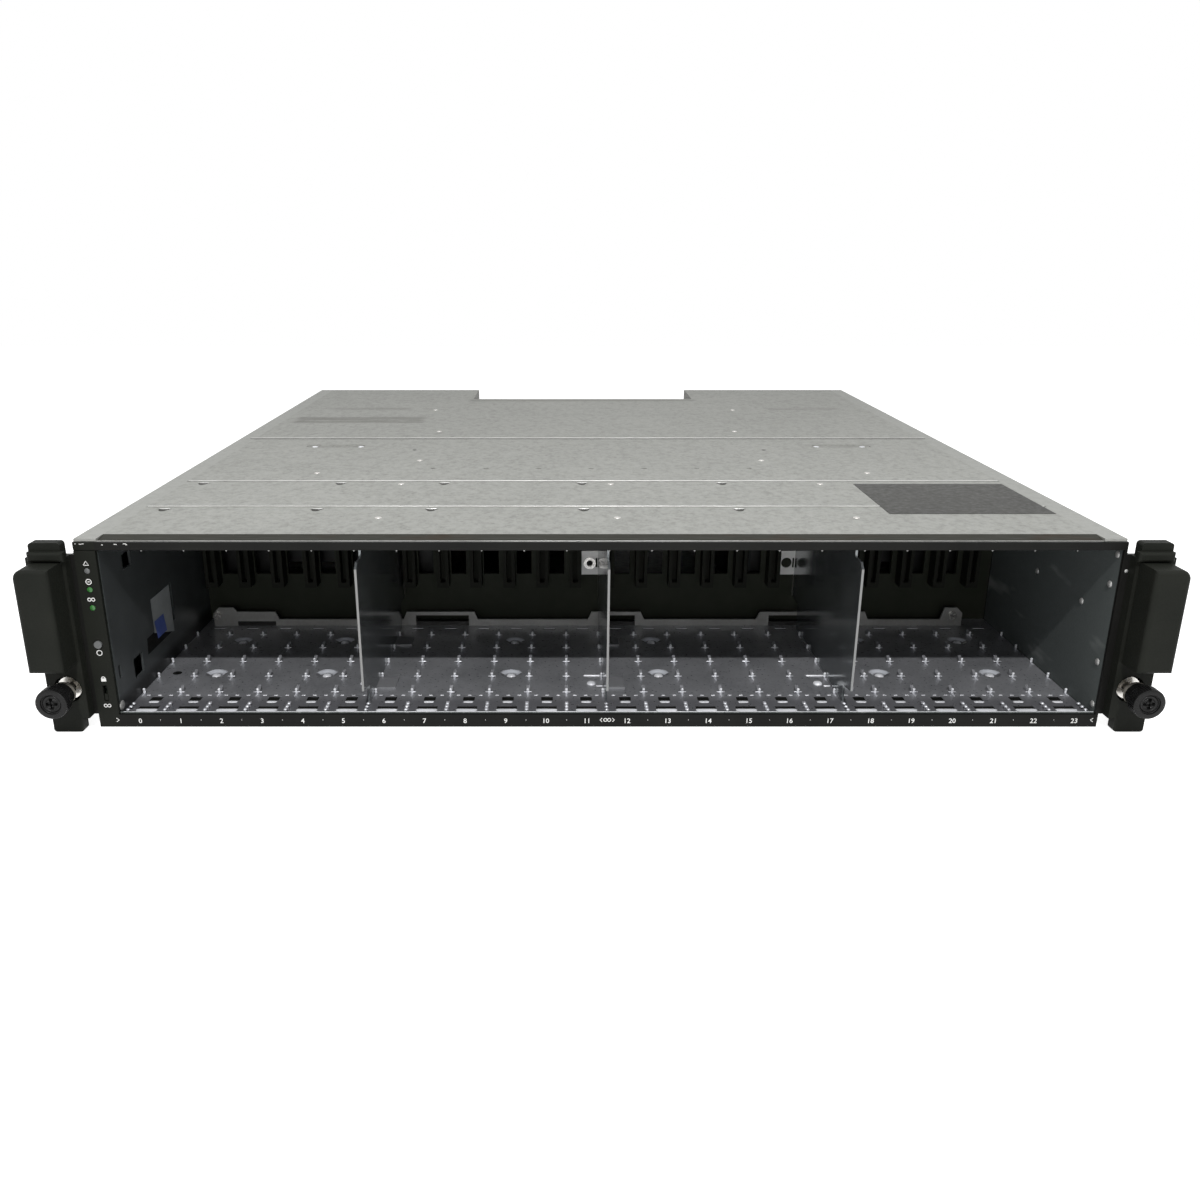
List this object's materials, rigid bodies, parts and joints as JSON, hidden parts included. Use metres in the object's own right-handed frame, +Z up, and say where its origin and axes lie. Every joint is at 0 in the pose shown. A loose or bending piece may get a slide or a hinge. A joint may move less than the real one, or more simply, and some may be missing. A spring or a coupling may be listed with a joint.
{
  "type": "storage array",
  "caption": "Rack-mount drive enclosure with an open drive bay in front, divider plates, midplane, rack ears with thumbscrews, and slide-out power and controller modules behind.",
  "frame": {"origin": "on the surface the chassis stands on, under the middle of its overall length and width", "axes": "+X to the right seen from the front, +Y from the drive bay towards the rear modules, +Z up"},
  "size_m": [0.4826, 0.5282, 0.0872],
  "materials": {
    "zinc_sheet": "matt galvanised",
    "bright_zinc": "satin zinc plate",
    "module_steel": "satin",
    "black_paint": "semi gloss",
    "black_plastic": "fine texture",
    "circuit_board": "solder mask",
    "nickel_plate": "bright",
    "label_film": "satin film",
    "green_lens": "clear lens",
    "grey_plastic": "satin",
    "grey_lead": "satin",
    "release_plastic": "satin",
    "white_ink": "matt print",
    "blue_film": "satin film"
  },
  "bodies": {
    "chassis": {"chassis_base": "zinc_sheet", "front_cover": "zinc_sheet", "rear_cover": "zinc_sheet", "left_partition": "zinc_sheet", "right_partition": "zinc_sheet", "module_shelf": "zinc_sheet", "lower_guide_plate": "bright_zinc", "upper_guide_plate": "bright_zinc", "left_divider": "bright_zinc", "centre_divider": "bright_zinc", "right_divider": "bright_zinc", "left_bay_wall": "bright_zinc", "midplane_bracket": "bright_zinc", "slot_strip": "black_paint", "top_rail": "black_paint", "right_trim_post": "black_paint", "left_ear": "black_paint", "right_ear": "black_paint", "left_ear_cover": "black_plastic", "right_ear_cover": "black_plastic", "control_panel": "black_plastic", "midplane_connectors": "black_plastic", "midplane_board": "circuit_board", "control_board": "circuit_board", "screw_ferrules": "nickel_plate", "midplane_screws": "nickel_plate", "cover_rivets": "nickel_plate", "info_label": "label_film", "led_lenses": "green_lens", "panel_cable": "grey_lead"},
    "id_button": {"id_button": "grey_plastic"},
    "mode_switch": {"mode_switch": "black_plastic"},
    "left_screw_carrier": {"left_retainer": "nickel_plate"},
    "left_screw": {"left_thumbscrew": "black_plastic"},
    "right_screw_carrier": {"right_retainer": "nickel_plate"},
    "right_screw": {"right_thumbscrew": "black_plastic"},
    "left_power_module": {"left_psu_case": "module_steel", "left_psu_faceplate": "module_steel", "left_psu_fan_frame": "black_plastic", "left_psu_inlet": "black_plastic", "left_psu_handle": "black_plastic"},
    "left_fan_rotor": {"left_psu_fan": "black_plastic"},
    "left_rocker": {"left_psu_switch": "black_plastic"},
    "left_latch": {"left_psu_latch": "release_plastic"},
    "right_power_module": {"right_psu_case": "module_steel", "right_psu_faceplate": "module_steel", "right_psu_fan_frame": "black_plastic", "right_psu_inlet": "black_plastic", "right_psu_handle": "black_plastic"},
    "right_fan_rotor": {"right_psu_fan": "black_plastic"},
    "right_rocker": {"right_psu_switch": "black_plastic"},
    "right_latch": {"right_psu_latch": "release_plastic"},
    "lower_controller": {"lower_controller_case": "module_steel", "lower_controller_board": "circuit_board", "lower_controller_ports": "nickel_plate"},
    "lower_lever": {"lower_controller_lever": "release_plastic"},
    "upper_controller": {"upper_controller_case": "module_steel", "upper_controller_board": "circuit_board", "upper_controller_ports": "nickel_plate"},
    "upper_lever": {"upper_controller_lever": "release_plastic"}
  },
  "joints": [
    {"name": "id_button_press", "type": "slide", "parent": "chassis", "child": "id_button", "axis": [0, 1, 0], "range_m": [0, 0.0008], "stiffness_N_per_m": 600},
    {"name": "mode_switch_slide", "type": "slide", "parent": "chassis", "child": "mode_switch", "axis": [0, 0, 1], "range_m": [0, 0.0037]},
    {"name": "left_screw_travel", "type": "slide", "parent": "chassis", "child": "left_screw_carrier", "axis": [0, 1, 0], "range_m": [0, 0.0047]},
    {"name": "left_screw_turn", "type": "hinge", "parent": "left_screw_carrier", "child": "left_screw", "pos_m": [-0.23255, -0.24335, 0.0202], "axis": [0, 1, 0], "continuous": true},
    {"name": "right_screw_travel", "type": "slide", "parent": "chassis", "child": "right_screw_carrier", "axis": [0, 1, 0], "range_m": [0, 0.0047]},
    {"name": "right_screw_turn", "type": "hinge", "parent": "right_screw_carrier", "child": "right_screw", "pos_m": [0.23255, -0.24335, 0.0202], "axis": [0, 1, 0], "continuous": true},
    {"name": "left_power_slide", "type": "slide", "parent": "chassis", "child": "left_power_module", "axis": [0, 1, 0], "range_m": [0, 0.26]},
    {"name": "left_fan_spin", "type": "hinge", "parent": "left_power_module", "child": "left_fan_rotor", "pos_m": [-0.18, 0.22015, 0.0427], "axis": [0, 1, 0], "continuous": true},
    {"name": "left_rocker_tilt", "type": "hinge", "parent": "left_power_module", "child": "left_rocker", "pos_m": [-0.1178, 0.23615, 0.05259], "axis": [1, 0, 0], "range_deg": [0, 14]},
    {"name": "left_latch_slide", "type": "slide", "parent": "left_power_module", "child": "left_latch", "axis": [1, 0, 0], "range_m": [0, 0.005], "stiffness_N_per_m": 300},
    {"name": "right_power_slide", "type": "slide", "parent": "chassis", "child": "right_power_module", "axis": [0, 1, 0], "range_m": [0, 0.26]},
    {"name": "right_fan_spin", "type": "hinge", "parent": "right_power_module", "child": "right_fan_rotor", "pos_m": [0.131, 0.22015, 0.0427], "axis": [0, 1, 0], "continuous": true},
    {"name": "right_rocker_tilt", "type": "hinge", "parent": "right_power_module", "child": "right_rocker", "pos_m": [0.1932, 0.23615, 0.05259], "axis": [1, 0, 0], "range_deg": [0, 14]},
    {"name": "right_latch_slide", "type": "slide", "parent": "right_power_module", "child": "right_latch", "axis": [1, 0, 0], "range_m": [0, 0.005], "stiffness_N_per_m": 300},
    {"name": "lower_controller_slide", "type": "slide", "parent": "chassis", "child": "lower_controller", "axis": [0, 1, 0], "range_m": [0, 0.22]},
    {"name": "lower_lever_swing", "type": "hinge", "parent": "lower_controller", "child": "lower_lever", "pos_m": [-0.0794, 0.18765, 0.021], "axis": [0, 0, 1], "range_deg": [0, 70]},
    {"name": "upper_controller_slide", "type": "slide", "parent": "chassis", "child": "upper_controller", "axis": [0, 1, 0], "range_m": [0, 0.22]},
    {"name": "upper_lever_swing", "type": "hinge", "parent": "upper_controller", "child": "upper_lever", "pos_m": [-0.0794, 0.18765, 0.0638], "axis": [0, 0, 1], "range_deg": [0, 70]}
  ]
}
